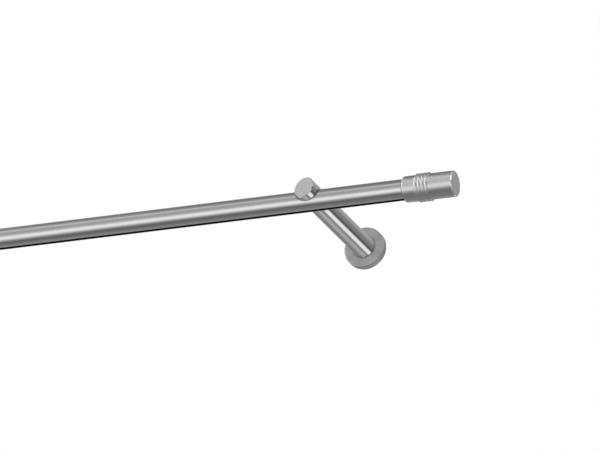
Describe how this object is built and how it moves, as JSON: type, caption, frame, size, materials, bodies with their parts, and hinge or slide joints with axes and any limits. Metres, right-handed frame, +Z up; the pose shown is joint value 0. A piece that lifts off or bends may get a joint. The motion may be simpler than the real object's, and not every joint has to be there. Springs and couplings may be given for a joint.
{
  "type": "inner track curtain rod",
  "caption": "Round curtain rod with a glider track along its underside, on round wall-bracket arms with rosettes, closed by ridged end caps; gliders with eyes slide in the slot.",
  "frame": {"origin": "on the wall plane, midway between the four wall-screw holes", "axes": "+X along the rod to the right as seen from the room, +Y into the wall, +Z up"},
  "size_m": [1.054, 0.1651, 0.0479],
  "materials": {
    "rod_metal": "brushed along its length, stainless look",
    "bracket_metal": "turned and finely brushed",
    "finial_metal": "turned and finely brushed",
    "plate_steel": "zinc plated",
    "screw_steel": "plain steel",
    "glider_plastic": "moulded, slightly glossy"
  },
  "bodies": {
    "rod_and_brackets": {"rod_profile": "rod_metal", "wall_plate_left": "plate_steel", "rosette_left": "bracket_metal", "rosette_screw_left": "screw_steel", "arm_left": "bracket_metal", "arm_bolt_left": "screw_steel", "clamp_screw_left": "screw_steel", "finial_left": "finial_metal", "finial_screw_left": "screw_steel", "wall_plate_right": "plate_steel", "rosette_right": "bracket_metal", "rosette_screw_right": "screw_steel", "arm_right": "bracket_metal", "arm_bolt_right": "screw_steel", "clamp_screw_right": "screw_steel", "finial_right": "finial_metal", "finial_screw_right": "screw_steel"},
    "glider_01": {"glider_01": "glider_plastic"},
    "glider_02": {"glider_02": "glider_plastic"},
    "glider_03": {"glider_03": "glider_plastic"},
    "glider_04": {"glider_04": "glider_plastic"},
    "glider_05": {"glider_05": "glider_plastic"},
    "glider_06": {"glider_06": "glider_plastic"},
    "glider_07": {"glider_07": "glider_plastic"},
    "glider_08": {"glider_08": "glider_plastic"},
    "glider_09": {"glider_09": "glider_plastic"},
    "glider_10": {"glider_10": "glider_plastic"}
  },
  "joints": [
    {"name": "glider_01_slide", "type": "slide", "parent": "rod_and_brackets", "child": "glider_01", "axis": [1, 0, 0], "range_m": [0, 0.0854]},
    {"name": "glider_02_slide", "type": "slide", "parent": "glider_01", "child": "glider_02", "axis": [1, 0, 0], "range_m": [0, 0.0854]},
    {"name": "glider_03_slide", "type": "slide", "parent": "glider_02", "child": "glider_03", "axis": [1, 0, 0], "range_m": [0, 0.0854]},
    {"name": "glider_04_slide", "type": "slide", "parent": "glider_03", "child": "glider_04", "axis": [1, 0, 0], "range_m": [0, 0.0854]},
    {"name": "glider_05_slide", "type": "slide", "parent": "glider_04", "child": "glider_05", "axis": [1, 0, 0], "range_m": [0, 0.0854]},
    {"name": "glider_06_slide", "type": "slide", "parent": "glider_05", "child": "glider_06", "axis": [1, 0, 0], "range_m": [0, 0.0854]},
    {"name": "glider_07_slide", "type": "slide", "parent": "glider_06", "child": "glider_07", "axis": [1, 0, 0], "range_m": [0, 0.0854]},
    {"name": "glider_08_slide", "type": "slide", "parent": "glider_07", "child": "glider_08", "axis": [1, 0, 0], "range_m": [0, 0.0854]},
    {"name": "glider_09_slide", "type": "slide", "parent": "glider_08", "child": "glider_09", "axis": [1, 0, 0], "range_m": [0, 0.0854]},
    {"name": "glider_10_slide", "type": "slide", "parent": "glider_09", "child": "glider_10", "axis": [1, 0, 0], "range_m": [0, 0.0854]}
  ]
}
